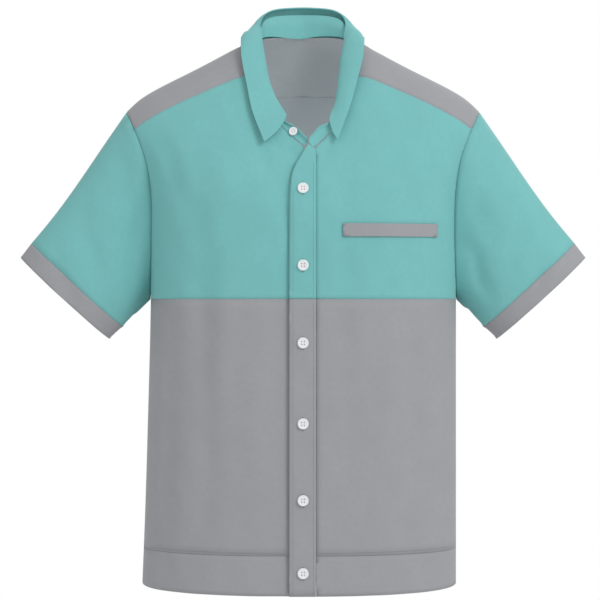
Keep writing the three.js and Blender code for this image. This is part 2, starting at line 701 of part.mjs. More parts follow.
// The outward normal of the body at x and z on the front.
function frontNormal(x, z) {
  const at = (px, pz) => bodyPoint(angleAt(px, pz, false), pz);
  const across = at(x + 1, z).sub(at(x - 1, z));
  const up = at(x, z + 1).sub(at(x, z - 1));
  return across.cross(up).normalize();
}

function placketButtons() {
  return BUTTON_Z.map((z, k) => {
    const normal = frontNormal(0, z);
    const place = bodyPoint(0, z).addScaledVector(normal, PLACKET_LIFT);
    return buttonMesh(`button_${k + 1}`, BUTTON, place, normal);
  });
}

// ---------- collar ----------
// A place on a table that lies over the shoulders, raised above them.
function raisedPoint(spot, lift) {
  const at = shoulderPoint(spot.x, spot.over);
  const across = shoulderPoint(spot.x + 1, spot.over).sub(shoulderPoint(spot.x - 1, spot.over));
  const backwards = shoulderPoint(spot.x, spot.over + 0.1).sub(shoulderPoint(spot.x, spot.over - 0.1));
  return at.addScaledVector(across.cross(backwards).normalize(), lift);
}

function foldPoint(s, side) {
  const x = side * along(FOLD, "s", "x", s) + along(FOLD, "s", "sway", s);
  return new THREE.Vector3(x, along(FOLD, "s", "y", s), along(FOLD, "s", "z", s));
}

// The top of the stand, which sinks with the right front towards the placket.
function standTop(s, side) {
  const top = foldPoint(s, side);
  if (side < 0) top.y += tuckAt(top.x);
  return top;
}

function neckPoint(s, side) {
  const spot = neckAt(s, side);
  return raisedPoint(spot, side < 0 ? -tuckAt(spot.x) : 0);
}

// Walks round the collar from the wearer's left end by the back to the right end.
function roundCollar(end) {
  return steps(STEPS.collar).map((t) => {
    const turn = 2 * t - 1;
    return { s: end * Math.abs(turn), side: turn < 0 ? 1 : -1 };
  });
}

function collarStand() {
  const points = roundCollar(NECK_END).map(({ s, side }) => {
    const low = neckPoint(s, side);
    const high = standTop(s, side);
    const rise = high.clone().sub(low).normalize();
    low.addScaledVector(rise, STAND_SEAT);
    const bare = THREE.MathUtils.smoothstep(s, STAND_SHORT.from, STAND_SHORT.to);
    high.addScaledVector(rise, -mix(STAND_SHORT.covered, STAND_SHORT.bare, bare));
    const spot = overTable(LEAF_EDGE, Math.min(s, LEAF_END), side);
    const inward = high.clone().sub(raisedPoint(spot, STAND_BOW));
    inward.addScaledVector(rise, -inward.dot(rise)).setLength(STAND_BOW);
    return steps(STEPS.stand).map((t) => low.clone().lerp(high, t).addScaledVector(inward, Math.sin(Math.PI * t)));
  });
  return clothWall("collar_stand", points, { wall: COLLAR_CLOTH, colour: TEAL });
}

function leafPoints() {
  return roundCollar(LEAF_END).map(({ s, side }) => {
    const fold = foldPoint(s, side);
    const rise = fold.clone().sub(neckPoint(s, side)).normalize();
    const spot = overTable(LEAF_EDGE, s, side);
    const edge = raisedPoint(spot, along(LEAF_EDGE, "s", "lift", s));
    const out = edge.clone().sub(fold);
    out.addScaledVector(rise, -out.dot(rise)).normalize();
    const over = mix(LEAF_ROLL.backRise, LEAF_ROLL.frontRise, THREE.MathUtils.smoothstep(s, 3, 7));
    const roll = fold.clone().addScaledVector(rise, over).addScaledVector(out, LEAF_ROLL.out);
    const drop = fold.clone().lerp(edge, LEAF_ARCH.at).addScaledVector(out, LEAF_ARCH.out);
    const start = fold.clone().addScaledVector(rise, LEAF_ROLL.start);
    const curve = new THREE.CubicBezierCurve3(edge, drop, roll, start);
    return steps(STEPS.leaf).map((t) => curve.getPoint(t));
  });
}

function collarLeaf() {
  return clothWall("collar_leaf", leafPoints(), { wall: COLLAR_CLOTH, colour: TEAL });
}

function collarButton() {
  const { s, up } = COLLAR_BUTTON_AT;
  const low = neckPoint(s, -1);
  const high = standTop(s, -1);
  const rise = high.clone().sub(low);
  const forward = neckPoint(s + 0.1, -1).sub(neckPoint(s - 0.1, -1));
  const normal = forward.cross(rise).normalize();
  return buttonMesh("collar_button", COLLAR_BUTTON, low.lerp(high, up), normal);
}

// ---------- assembly ----------
const shirt = new THREE.Group();
shirt.add(yoke());
for (const side of [-1, 1]) {
  shirt.add(frontUpper(side));
  shirt.add(frontLower(side));
  shirt.add(hemBandFront(side));
  shirt.add(sleeve(side));
  shirt.add(cuff(side));
}
shirt.add(back());
shirt.add(hemBandBack());
shirt.add(...placketPieces());
shirt.add(weltPocket());
shirt.add(collarStand());
shirt.add(collarLeaf());
shirt.add(...placketButtons());
shirt.add(collarButton());

export default shirt;
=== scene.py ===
"""A short-sleeved two-colour shirt, filled out as if worn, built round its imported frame.

Metres. +X is the wearer's left, +Y the wearer's back, +Z up. The origin is the middle of the neck.
"""

import math

import bmesh
import bpy
from bpy.props import FloatProperty, FloatVectorProperty, PointerProperty, StringProperty
from bpy.types import Operator, Panel, PropertyGroup
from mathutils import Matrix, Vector
from mathutils.bvhtree import BVHTree


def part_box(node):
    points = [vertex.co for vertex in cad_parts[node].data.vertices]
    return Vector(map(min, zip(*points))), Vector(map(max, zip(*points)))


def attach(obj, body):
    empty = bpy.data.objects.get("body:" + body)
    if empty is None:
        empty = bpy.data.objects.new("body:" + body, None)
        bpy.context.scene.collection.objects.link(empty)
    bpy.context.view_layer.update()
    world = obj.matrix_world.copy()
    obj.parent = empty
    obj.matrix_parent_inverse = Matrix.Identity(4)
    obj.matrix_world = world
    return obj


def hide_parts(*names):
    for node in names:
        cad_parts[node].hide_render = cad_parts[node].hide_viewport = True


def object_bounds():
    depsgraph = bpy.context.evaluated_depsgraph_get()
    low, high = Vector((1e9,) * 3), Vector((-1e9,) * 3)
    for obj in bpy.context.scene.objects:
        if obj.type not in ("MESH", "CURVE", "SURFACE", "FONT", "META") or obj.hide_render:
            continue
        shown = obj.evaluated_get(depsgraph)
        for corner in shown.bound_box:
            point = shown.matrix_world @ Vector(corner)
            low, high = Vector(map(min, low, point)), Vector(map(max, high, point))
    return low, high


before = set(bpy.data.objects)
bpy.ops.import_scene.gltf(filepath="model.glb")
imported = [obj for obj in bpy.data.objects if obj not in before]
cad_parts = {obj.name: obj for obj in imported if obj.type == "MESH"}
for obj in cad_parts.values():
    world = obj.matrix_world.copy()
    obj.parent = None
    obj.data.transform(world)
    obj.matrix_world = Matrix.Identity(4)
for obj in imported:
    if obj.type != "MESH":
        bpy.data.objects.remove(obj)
CAD_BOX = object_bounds()

bl_info = {
    "name": "Two-colour short-sleeved shirt",
    "version": (1, 0, 0),
    "blender": (4, 5, 0),
    "location": "View3D > Sidebar > Shirt",
    "description": "Builds the cloth, seams, buttons and stage of a short-sleeved shirt",
    "category": "Object",
}

MM = 0.001

# ---------- cloth pieces ----------
# node, slot, flat size as cut (width and length in mm), flat area of the cut in mm2 (0 for a rectangle)
CLOTH = [
    ("yoke", "grey_cloth", 470, 190, 66400),
    ("front_right_upper", "teal_cloth", 255, 292, 59200),
    ("front_left_upper", "teal_cloth", 235, 292, 52600),
    ("front_right_lower", "grey_cloth", 273, 320, 0),
    ("front_left_lower", "grey_cloth", 241, 320, 0),
    ("hem_band_front_right", "grey_cloth", 273, 50, 0),
    ("hem_band_front_left", "grey_cloth", 241, 49, 0),
    ("sleeve_right", "teal_cloth", 430, 205, 57800),
    ("sleeve_left", "teal_cloth", 430, 205, 57800),
    ("cuff_right", "grey_cloth", 385, 23.5, 0),
    ("cuff_left", "grey_cloth", 385, 23.5, 0),
    ("back", "grey_cloth", 505, 590, 270000),
    ("hem_band_back", "grey_cloth", 500, 47.5, 0),
    ("placket_upper", "teal_cloth", 34, 195, 6090),
    ("placket_lower", "grey_cloth", 34, 374, 0),
    ("welt_pocket", "grey_cloth", 126, 17, 0),
    ("collar_stand", "teal_cloth", 400, 34, 9500),
    ("collar_leaf", "teal_cloth", 400, 56, 18300),
]

# Soft folds, in mm: where each starts and ends, how wide it is, how deep (a trough is negative), and
# whether it is on the front or the back. They are uneven on purpose.
FOLDS = [
    # the wearer's right front hangs in two long soft troughs
    ("front", -128, -175, -122, -640, 15, -2.4),
    ("front", -100, -230, -104, -560, 17, 1.5),
    ("front", -168, -380, -176, -690, 11, -2.2),
    ("front", -55, -360, -62, -600, 16, 0.9),
    # the wearer's left front
    ("front", 52, -150, 58, -560, 13, -1.5),
    ("front", 142, -270, 138, -610, 14, -2.0),
    ("front", 112, -330, 104, -660, 18, 1.2),
    ("front", 176, -420, 182, -690, 10, -1.6),
    # pulls from the collar button to the top of the placket
    ("front", -42, -128, -10, -152, 4.5, -2.2),
    ("front", -30, -142, -8, -166, 4.0, 1.6),
    ("front", -22, -152, -20, -300, 7, -1.6),
    ("front", -62, -118, -34, -190, 9, -1.3),
    ("front", 22, -150, 44, -136, 5, -1.6),
    # towards the armholes
    ("front", -182, -130, -150, -215, 12, -1.7),
    ("front", 184, -128, 158, -200, 12, -1.3),
    ("front", -196, -330, -160, -380, 9, -1.8),
    ("front", 196, -330, 164, -372, 9, -1.5),
    # the sleeves
    ("front", -240, -135, -222, -215, 11, -2.6),
    ("front", -286, -205, -262, -318, 12, -3.0),
    ("front", -212, -205, -226, -318, 10, -3.2),
    ("front", -318, -262, -300, -330, 10, -1.6),
    ("front", 238, -140, 226, -230, 12, -1.9),
    ("front", 284, -215, 268, -300, 12, -2.0),
    ("front", 214, -265, 240, -330, 10, -3.0),
    ("front", 316, -268, 296, -330, 10, -1.4),
    # the back hangs from the yoke
    ("back", -118, -150, -112, -650, 17, -2.4),
    ("back", -70, -190, -78, -610, 18, 1.6),
    ("back", 20, -170, 26, -640, 16, -1.8),
    ("back", 74, -210, 66, -560, 15, 1.4),
    ("back", 128, -140, 124, -660, 15, -2.3),
    ("back", 176, -360, 170, -680, 12, -1.7),
    ("back", -172, -340, -178, -690, 12, -1.9),
    ("back", -240, -150, -226, -240, 12, -2.2),
    ("back", -284, -215, -264, -310, 12, -2.6),
    ("back", 240, -150, 228, -250, 12, -2.4),
    ("back", 286, -220, 262, -315, 12, -2.2),
]
FOLD_RUN_ON = 0.2  # a fold fades out over this share of its length past each end
FOLD_FADE = 1.5  # how quickly it fades there
FOLD_SWAY = {"width": 3.0, "waves": 6.0}  # how far and how often a fold wanders, in mm and radians
EDGE_FADE = 25  # folds die out this near, in mm, to the shoulder line and the side seams
# The faint unevenness of hung cloth: its size in mm, and its waves across and down in that size.
RIPPLE = {"step": 46, "height": 0.35, "across": 6, "down": 2.3}
FOLD_TURN = {"share": 0.35, "reach": 0.2}  # folds also move sideways by this share, from this far out (m)

# ---------- shaping ----------
MERGE = 1e-5  # points nearer than this are one point
FLAT_ANGLE = math.radians(35)  # two triangles that turn less than this become one face
SKEW_ANGLE = math.radians(60)  # and their face is at most this far from square
FINE_LEVELS = 2  # how many times each face is divided
SHARP_ANGLE = math.radians(50)  # a cloth edge is sharper than this
CORNER_ANGLE = math.radians(24)  # an outline turns this much at a corner
SHADE_ANGLE = math.radians(42)  # shading breaks at an edge sharper than this
HELD = 0.5  # an edge or corner with more crease than this stays sharp
RIM_WIDTH = 2.2 * MM  # the thin rim faces of a piece have a side shorter than this
RIM_TURN = 1.0  # radians between a rim face and the broad faces it joins
BROAD_AREA = 2e-5  # m2, the least area of a broad face
BODY_MIDDLE = Vector((0, 0, -0.33))
# How far each piece's inner face reaches into its seams.
SEAM_REACH = {
    "yoke": 0.7 * MM, "back": 0.6 * MM, "front_right_upper": 0.7 * MM, "front_left_upper": 0.7 * MM,
    "front_right_lower": 0.35 * MM, "front_left_lower": 0.35 * MM, "sleeve_right": 0.7 * MM,
    "sleeve_left": 0.7 * MM, "cuff_right": 0.3 * MM, "cuff_left": 0.3 * MM, "hem_band_back": 0.3 * MM,
    "hem_band_front_right": 0.3 * MM, "hem_band_front_left": 0.3 * MM, "placket_upper": 0.3 * MM,
    "placket_lower": 0.3 * MM,
}

# ---------- buttons, stitches and buttonholes ----------
FRONT_BUTTONS = ["button_1", "button_2", "button_3", "button_4", "button_5", "button_6"]
BUTTON_NODES = FRONT_BUTTONS + ["collar_button"]
WAIST_SEAM_Z = -334  # mm, where teal cloth meets grey
# Rows of topstitching, in mm: x and z of both ends, how many points lay the row on the cloth, and
# whether it is on the back.
PLACKET_ROWS_UPPER = [(-12.8, -331, -12.4, -196, 60, False), (13.2, -331, 13.2, -160, 60, False)]
PLACKET_ROWS_LOWER = [(-12.8, -706, -12.8, -337, 90, False), (13.2, -706, 13.2, -337, 90, False)]
HEM_ROWS = [
    (-196, -652.5, -22, -655.0, 60, False),
    (20, -654.5, 188, -652.0, 60, False),
    (-196, -652, 188, -652, 90, True),
]
BUTTONHOLE_ROWS = (-0.5, 0.0, 0.5)  # mm from the middle of the buttonhole
BUTTONHOLE_POINTS = 12
RAY_START = 0.4  # m in front of or behind the shirt
# A stitch: the part of its pitch that it fills, its rise in thread widths, and its sloping ends.
STITCH = {"filled": 0.7, "rise": 0.55, "slope": 0.15}
STITCH_GAPS = (1e-6, 0.03)  # m, the shortest and longest step that thread follows
THREAD_SHADE = {"teal": 0.62, "grey": 0.6}  # share of the cloth's own colour

# ---------- stage ----------
SENSOR_WIDTH = 36.0
CLIP_END = 50.0
FLOOR = {"radius": 4.5, "sides": 128, "colour": "#E9E9E9"}
SHIRT_AIM = (-0.0039, 0.0, -0.3354)
# Name, place, size, power and aim. The small one inside the shirt stands in for the light that thin
# cloth lets through to the inside of the back.
LAMPS = [
    ("key", (2.3, -2.5, 1.9), 1.8, 62.0, SHIRT_AIM),
    ("fill", (-2.4, -2.2, 0.4), 2.6, 8.0, SHIRT_AIM),
    ("rear", (0.6, 2.8, 1.6), 2.6, 34.0, SHIRT_AIM),
    ("inside", (0.0, 0.0, -0.33), 0.1, 0.45, (0.0, 0.1, -0.08)),
]
WORLD_LIGHT = 0.62
WORLD_SEEN = 1.0


def hex_to_linear(text):
    """An sRGB hex colour as linear RGBA."""
    value = text.lstrip("#")
    parts = [int(value[k:k + 2], 16) / 255 for k in (0, 2, 4)]
    linear = [p / 12.92 if p <= 0.04045 else ((p + 0.055) / 1.055) ** 2.4 for p in parts]
    return (*linear, 1.0)


class ShirtCloth(PropertyGroup):
    """Colours and weave of the two cloths."""

    teal: StringProperty(
        name="Teal", description="Dyed colour of the upper cloth, sRGB hex", default="#79BEBD",
    )
    grey: StringProperty(
        name="Grey", description="Dyed colour of the lower cloth, sRGB hex", default="#9FA0A4",
    )
    thread_step: FloatProperty(
        name="Thread step", description="Distance between drawn threads", default=0.9 * MM, unit="LENGTH",
        precision=5,
    )
    fold_share: FloatProperty(
        name="Folds", description="Share of the full depth of the folds", default=1.5, min=0.0, max=2.0,
        subtype="FACTOR",
    )


class ShirtTrim(PropertyGroup):
    """Buttons, stitches and buttonholes."""

    button: StringProperty(name="Button", description="Button colour, sRGB hex", default="#F1F2F4")
    stitch_length: FloatProperty(
        name="Stitch", description="Length of one topstitch", default=2.6 * MM, unit="LENGTH",
        precision=5,
    )
    thread_width: FloatProperty(
        name="Thread", description="Width of the sewing thread", default=0.45 * MM, unit="LENGTH",
        precision=5,
    )
    buttonhole: FloatProperty(
        name="Buttonhole", description="Length of a placket buttonhole", default=18 * MM, unit="LENGTH",
        precision=5,
    )


class ShirtStage(PropertyGroup):
    """Camera, floor and lights."""

    distance: FloatProperty(name="Distance", description="Camera to shirt", default=3.2, unit="LENGTH")
    view_width: FloatProperty(
        name="View width", description="Width seen at the shirt", default=0.78, unit="LENGTH",
    )
    aim: FloatVectorProperty(
        name="Aim", description="Point the camera looks at", default=SHIRT_AIM, size=3,
        subtype="XYZ",
    )
    floor_drop: FloatProperty(
        name="Floor drop", description="Floor below the hem", default=0.7, unit="LENGTH",
    )


# ---------- materials ----------
def add_node(tree, kind, values=(), links=(), **settings):
    """Adds one node with its settings, its input values and its incoming links."""
    node = tree.nodes.new(kind)
    for key, value in settings.items():
        setattr(node, key, value)
    for key, value in dict(values).items():
        node.inputs[key].default_value = value
    for key, source in dict(links).items():
        tree.links.new(source, node.inputs[key])
    return node


def fresh_material(name):
    """An empty node material."""
    material = bpy.data.materials.new(name)
    material.use_nodes = True
    material.node_tree.nodes.clear()
    return material


def woven_material(name, colour, thread_step):
    """Plain-woven poly-cotton: matt, a faint soft sheen at grazing angles, fine threads both ways."""
    material = fresh_material(name)
    tree = material.node_tree
    place = add_node(tree, "ShaderNodeTexCoord").outputs["Object"]
    # Threads: two sets of waves. The real step is 0.3 mm; it is drawn coarser so that it shows.
    threads = {"Scale": 1.0 / (thread_step * math.pi), "Distortion": 0.6, "Detail": 1.0, "Detail Scale": 0.4}
    warp = add_node(
        tree, "ShaderNodeTexWave", threads, {"Vector": place}, wave_type="BANDS", bands_direction="X",
    )
    weft = add_node(
        tree, "ShaderNodeTexWave", threads, {"Vector": place}, wave_type="BANDS", bands_direction="Z",
    )
    weave = add_node(
        tree, "ShaderNodeMath", (), {0: warp.outputs["Fac"], 1: weft.outputs["Fac"]}, operation="MULTIPLY",
    )
    # Slubs and dye: slow, faint changes of shade, about 40 mm and 6 mm across.
    broad = add_node(tree, "ShaderNodeTexNoise", {"Scale": 25.0, "Detail": 2.0}, {"Vector": place})
    slub = add_node(tree, "ShaderNodeTexNoise", {"Scale": 160.0, "Detail": 3.0}, {"Vector": place})
    shade = add_node(
        tree, "ShaderNodeMath", (), {0: broad.outputs["Fac"], 1: slub.outputs["Fac"]}, operation="MULTIPLY",
    )
    base = hex_to_linear(colour)
    ramp = add_node(tree, "ShaderNodeValToRGB", (), {"Fac": shade.outputs["Value"]})
    ramp.color_ramp.elements[0].position = 0.05
    ramp.color_ramp.elements[0].color = (*[c * 0.955 for c in base[:3]], 1)
    ramp.color_ramp.elements[1].position = 0.5
    ramp.color_ramp.elements[1].color = (*[min(c * 1.03, 1.0) for c in base[:3]], 1)
    bump = add_node(
        tree, "ShaderNodeBump", {"Strength": 0.22, "Distance": 0.00012}, {"Height": weave.outputs["Value"]},
    )
    shader = add_node(
        tree, "ShaderNodeBsdfPrincipled",
        {
            "Roughness": 0.88, "IOR": 1.5, "Specular IOR Level": 0.22, "Sheen Weight": 0.12,
            "Sheen Roughness": 0.5,
        },
        {"Base Color": ramp.outputs["Color"], "Normal": bump.outputs["Normal"]},
    )
    add_node(tree, "ShaderNodeOutputMaterial", (), {"Surface": shader.outputs["BSDF"]})
    return material


def button_material(name, colour):
    """Cast polyester button, turned and polished: white with faint clouding and a soft gloss."""
    material = fresh_material(name)
    tree = material.node_tree
    place = add_node(tree, "ShaderNodeTexCoord").outputs["Object"]
    cloud = add_node(tree, "ShaderNodeTexNoise", {"Scale": 300.0, "Detail": 2.0}, {"Vector": place})
    base = hex_to_linear(colour)
    ramp = add_node(tree, "ShaderNodeValToRGB", (), {"Fac": cloud.outputs["Fac"]})
    ramp.color_ramp.elements[0].color = (*[c * 0.95 for c in base[:3]], 1)
    ramp.color_ramp.elements[1].color = base
    shader = add_node(
        tree, "ShaderNodeBsdfPrincipled", {"Roughness": 0.3, "IOR": 1.54},
        {"Base Color": ramp.outputs["Color"]},
    )
    add_node(tree, "ShaderNodeOutputMaterial", (), {"Surface": shader.outputs["BSDF"]})
    return material


def thread_material(name, colour, share):
    """Spun polyester thread, a little darker than its cloth because it lies in its own shadow."""
    material = fresh_material(name)
    tree = material.node_tree
    place = add_node(tree, "ShaderNodeTexCoord").outputs["Object"]
    twist = add_node(tree, "ShaderNodeTexNoise", {"Scale": 1500.0}, {"Vector": place})
    base = hex_to_linear(colour)
    ramp = add_node(tree, "ShaderNodeValToRGB", (), {"Fac": twist.outputs["Fac"]})
    ramp.color_ramp.elements[0].color = (*[c * share * 0.85 for c in base[:3]], 1)
    ramp.color_ramp.elements[1].color = (*[c * share for c in base[:3]], 1)
    shader = add_node(
        tree, "ShaderNodeBsdfPrincipled", {"Roughness": 0.8, "Specular IOR Level": 0.2},
        {"Base Color": ramp.outputs["Color"]},
    )
    add_node(tree, "ShaderNodeOutputMaterial", (), {"Surface": shader.outputs["BSDF"]})
    return material


def shirt_materials():
    """All the shirt's materials by name, made once."""
    cloth = bpy.context.scene.shirt_cloth
    trim = bpy.context.scene.shirt_trim
    makers = {
        "teal_woven_poly_cotton": lambda n: woven_material(n, cloth.teal, cloth.thread_step),
        "grey_woven_poly_cotton": lambda n: woven_material(n, cloth.grey, cloth.thread_step),
        "polished_polyester_button": lambda n: button_material(n, trim.button),
        "teal_spun_thread": lambda n: thread_material(n, cloth.teal, THREAD_SHADE["teal"]),
        "grey_spun_thread": lambda n: thread_material(n, cloth.grey, THREAD_SHADE["grey"]),
    }
    return {name: bpy.data.materials.get(name) or make(name) for name, make in makers.items()}


# ---------- shaping ----------
def fold_depth(point):
    """How far the folds move a point of the cloth along its normal, in metres."""
    x, y, z = (value / MM for value in point)
    total = 0.0
    for side, x0, z0, x1, z1, width, depth in FOLDS:
        if (side == "front") != (y < 0):
            continue
        run = (x1 - x0, z1 - z0)
        length2 = run[0] ** 2 + run[1] ** 2
        t = ((x - x0) * run[0] + (z - z0) * run[1]) / length2
        if t < -FOLD_RUN_ON or t > 1 + FOLD_RUN_ON:
            continue
        sway = FOLD_SWAY["width"] * math.sin(FOLD_SWAY["waves"] * t + x0)
        away = ((x - x0) * run[1] - (z - z0) * run[0]) / math.sqrt(length2) + sway
        ends = max(0.0, math.sin(math.pi * (t + FOLD_RUN_ON) / (1 + 2 * FOLD_RUN_ON)))
        total += depth * ends ** FOLD_FADE * math.exp(-((away / width) ** 2))
    fade = min(1.0, abs(y) / EDGE_FADE)
    across, down = x / RIPPLE["step"], z / RIPPLE["step"]
    ripple = math.sin(across * RIPPLE["across"] + down) * math.sin(down * RIPPLE["down"] + across)
    return (total + ripple * RIPPLE["height"]) * fade * MM


def turned_from(face, others):
    """Those of the other faces that stand across this one, as broad faces stand across a rim."""
    return [other for other in others if other is not face and other.normal.angle(face.normal) > RIM_TURN]


def close_seams(work, reach, centre):
    """Widens the inner face of a piece at its rim, as a seam allowance that closes the joint inside."""
    moves = {}
    for face in work.faces:
        if min(edge.calc_length() for edge in face.edges) > RIM_WIDTH:
            continue
        if not turned_from(face, [other for edge in face.edges for other in edge.link_faces]):
            continue
        for vert in face.verts:
            broad = [f.normal for f in turned_from(face, vert.link_faces) if f.calc_area() > BROAD_AREA]
            if broad and sum(broad, Vector()).dot(vert.co - centre) < 0:
                moves.setdefault(vert, []).append(face.normal.copy())
    for vert, normals in moves.items():
        vert.co += sum(normals, Vector()) / len(normals) * reach


def hold_corners(work, crease):
    """Keeps the corners of a piece's outline from being rounded off."""
    corner = work.verts.layers.float.new("crease_vert")
    for vert in work.verts:
        outline = [edge for edge in vert.link_edges if edge[crease] > HELD]
        if len(outline) > 2:
            outline = [edge for edge in outline if edge.calc_length() > RIM_WIDTH]
        if len(outline) == 2:
            ways = [(edge.other_vert(vert).co - vert.co).normalized() for edge in outline]
            if ways[0].angle(-ways[1]) > CORNER_ANGLE:
                vert[corner] = 1.0


def fine_mesh(node):
    """A smooth, fine copy of a frame node's mesh, whose sharp edges stay sharp."""
    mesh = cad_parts[node].data.copy()
    work = bmesh.new()
    work.from_mesh(mesh)
    bmesh.ops.remove_doubles(work, verts=work.verts, dist=MERGE)
    bmesh.ops.join_triangles(
        work, faces=work.faces, angle_face_threshold=FLAT_ANGLE, angle_shape_threshold=SKEW_ANGLE,
    )
    if node in SEAM_REACH:
        low, high = (Vector(corner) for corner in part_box(node))
        tube = node.startswith(("sleeve", "cuff"))
        close_seams(work, SEAM_REACH[node], (low + high) / 2 if tube else BODY_MIDDLE)
    crease = work.edges.layers.float.new("crease_edge")
    for edge in work.edges:
        if len(edge.link_faces) == 2 and edge.calc_face_angle(0) > SHARP_ANGLE:
            edge[crease] = 1.0
    hold_corners(work, crease)
    work.to_mesh(mesh)
    work.free()
    holder = bpy.data.objects.new(f"{node}_work", mesh)
    bpy.context.scene.collection.objects.link(holder)
    modifier = holder.modifiers.new("fine", "SUBSURF")
    modifier.levels = FINE_LEVELS
    modifier.render_levels = FINE_LEVELS
    depsgraph = bpy.context.evaluated_depsgraph_get()
    fine = bpy.data.meshes.new_from_object(holder.evaluated_get(depsgraph))
    bpy.data.objects.remove(holder)
    return fine


def add_piece(name, mesh, material):
    """A shown piece of the shirt that rides on the one body."""
    mesh.materials.clear()
    mesh.materials.append(material)
    mesh.shade_smooth()
    mesh.set_sharp_from_angle(angle=SHADE_ANGLE)
    piece = bpy.data.objects.new(name, mesh)
    bpy.context.scene.collection.objects.link(piece)
    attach(piece, "root")
    return piece


def sew_cloth(node, slot, width, length, area):
    """Makes one cloth piece on its solid's form, with the folds."""
    share = bpy.context.scene.shirt_cloth.fold_share
    material = shirt_materials()[f"{slot.split('_')[0]}_woven_poly_cotton"]
    mesh = fine_mesh(node)
    if not node.startswith("collar"):
        for vertex in mesh.vertices:
            vertex.co += outward_of(vertex.co) * fold_depth(vertex.co) * share
    piece = add_piece(f"{node}_cloth", mesh, material)
    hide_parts(node)
    return piece


def outward_of(point):
    """The direction in which a fold moves a point: front pieces forwards, back pieces backwards."""
    sideways = FOLD_TURN["share"] * math.copysign(1, point.x) * min(1, abs(point.x) / FOLD_TURN["reach"])
    return Vector((sideways, -1.0 if point.y < 0 else 1.0, 0.0)).normalized()


# ---------- stitches ----------
def surface_tree(names):
    """A search tree over the finished pieces, for laying thread on them."""
    verts, faces = [], []
    for name in names:
        mesh = bpy.data.objects[f"{name}_cloth"].data
        start = len(verts)
        verts += [vertex.co.copy() for vertex in mesh.vertices]
        faces += [[start + k for k in polygon.vertices] for polygon in mesh.polygons]
    return BVHTree.FromPolygons(verts, faces)


def lay_on_cloth(tree, points, back):
    """Drops (x, z) points in mm on to the front or back of the cloth, as places and outward normals."""
    side = 1 if back else -1
    laid = []
    for x, z in points:
        start = Vector((x * MM, side * RAY_START, z * MM))
        place, normal = tree.ray_cast(start, Vector((0, -side, 0)))[:2]
        if place is not None:
            laid.append((place, normal if normal.dot(start - place) > 0 else -normal))
    return laid


def stitch_mesh(laid, pitch, thread):
    """Short raised stitches along laid points, with a gap after each."""
    work = bmesh.new()
    for (a, normal), (b, _) in zip(laid, laid[1:]):
        run = b - a
        if not STITCH_GAPS[0] <= run.length <= STITCH_GAPS[1]:
            continue
        count = max(1, round(run.length / pitch))
        across = run.normalized().cross(normal).normalized() * thread / 2
        lift = normal * thread * STITCH["rise"]
        slope = run * STITCH["slope"] / count
        for k in range(count):
            start = a + run * (k / count)
            end = a + run * ((k + STITCH["filled"]) / count)
            ring = [
                work.verts.new(place)
                for place in (
                    start - across, end - across, end + across, start + across,
                    start + slope + lift, end - slope + lift,
                )
            ]
            for face in ((0, 1, 5, 4), (2, 3, 4, 5), (1, 2, 5), (3, 0, 4), (3, 2, 1, 0)):
                work.faces.new([ring[i] for i in face])
    mesh = bpy.data.meshes.new("stitches")
    work.to_mesh(mesh)
    work.free()
    return mesh


def add_stitches(name, rows, colour, tree):
    """One piece of thread for several straight rows of stitches, in its cloth's colour and slot."""
    trim = bpy.context.scene.shirt_trim
    work = bmesh.new()
    for x0, z0, x1, z1, count, back in rows:
        points = [(x0 + (x1 - x0) * k / count, z0 + (z1 - z0) * k / count) for k in range(count + 1)]
        part = stitch_mesh(lay_on_cloth(tree, points, back), trim.stitch_length, trim.thread_width)
        work.from_mesh(part)
        bpy.data.meshes.remove(part)
    mesh = bpy.data.meshes.new(name)
    work.to_mesh(mesh)
    work.free()
    return add_piece(name, mesh, shirt_materials()[f"{colour}_spun_thread"])


def buttonhole_rows(length):
    """The close rows of thread of every placket buttonhole, by the colour of the cloth under it."""
    rows = {"teal": [], "grey": []}
    for node in FRONT_BUTTONS:
        low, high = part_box(node)
        x = (low[0] + high[0]) / 2 / MM
        z = (low[2] + high[2]) / 2 / MM
        colour = "teal" if z > WAIST_SEAM_Z else "grey"
        for d in BUTTONHOLE_ROWS:
            rows[colour].append((x + d, z - length / 2, x + d, z + length / 2, BUTTONHOLE_POINTS, False))
    return rows


# ---------- operators ----------
def sew_group(starts):
    """Sews every cloth piece whose name starts in one of the given ways."""
    rows = [row for row in CLOTH if row[0].startswith(starts)]
    if not rows:
        raise RuntimeError(f"no cloth pieces start with {starts}")
    for row in rows:
        sew_cloth(*row)
    return {"FINISHED"}


class SHIRT_OT_fronts(Operator):
    """Sews the upper and lower panels of the two fronts"""

    bl_idname = "shirt.fronts"
    bl_label = "Sew the fronts"

    def execute(self, context):
        return sew_group(("front_",))


class SHIRT_OT_back(Operator):
    """Sews the back and the yoke over the shoulders"""

    bl_idname = "shirt.back"
    bl_label = "Sew the back and yoke"

    def execute(self, context):
        return sew_group(("back", "yoke"))


class SHIRT_OT_hem_bands(Operator):
    """Sews the band round the hem"""

    bl_idname = "shirt.hem_bands"
    bl_label = "Sew the hem bands"

    def execute(self, context):
        return sew_group(("hem_band",))


class SHIRT_OT_sleeves(Operator):
    """Sews the sleeves and their cuffs"""

    bl_idname = "shirt.sleeves"
    bl_label = "Sew the sleeves"

    def execute(self, context):
        return sew_group(("sleeve", "cuff"))


class SHIRT_OT_placket(Operator):
    """Sews the button placket and the welt of the chest pocket"""

    bl_idname = "shirt.placket"
    bl_label = "Sew the placket and pocket"

    def execute(self, context):
        return sew_group(("placket", "welt"))


class SHIRT_OT_collar(Operator):
    """Sews the collar stand and the turned-down collar leaf"""

    bl_idname = "shirt.collar"
    bl_label = "Sew the collar"

    def execute(self, context):
        return sew_group(("collar_stand", "collar_leaf"))


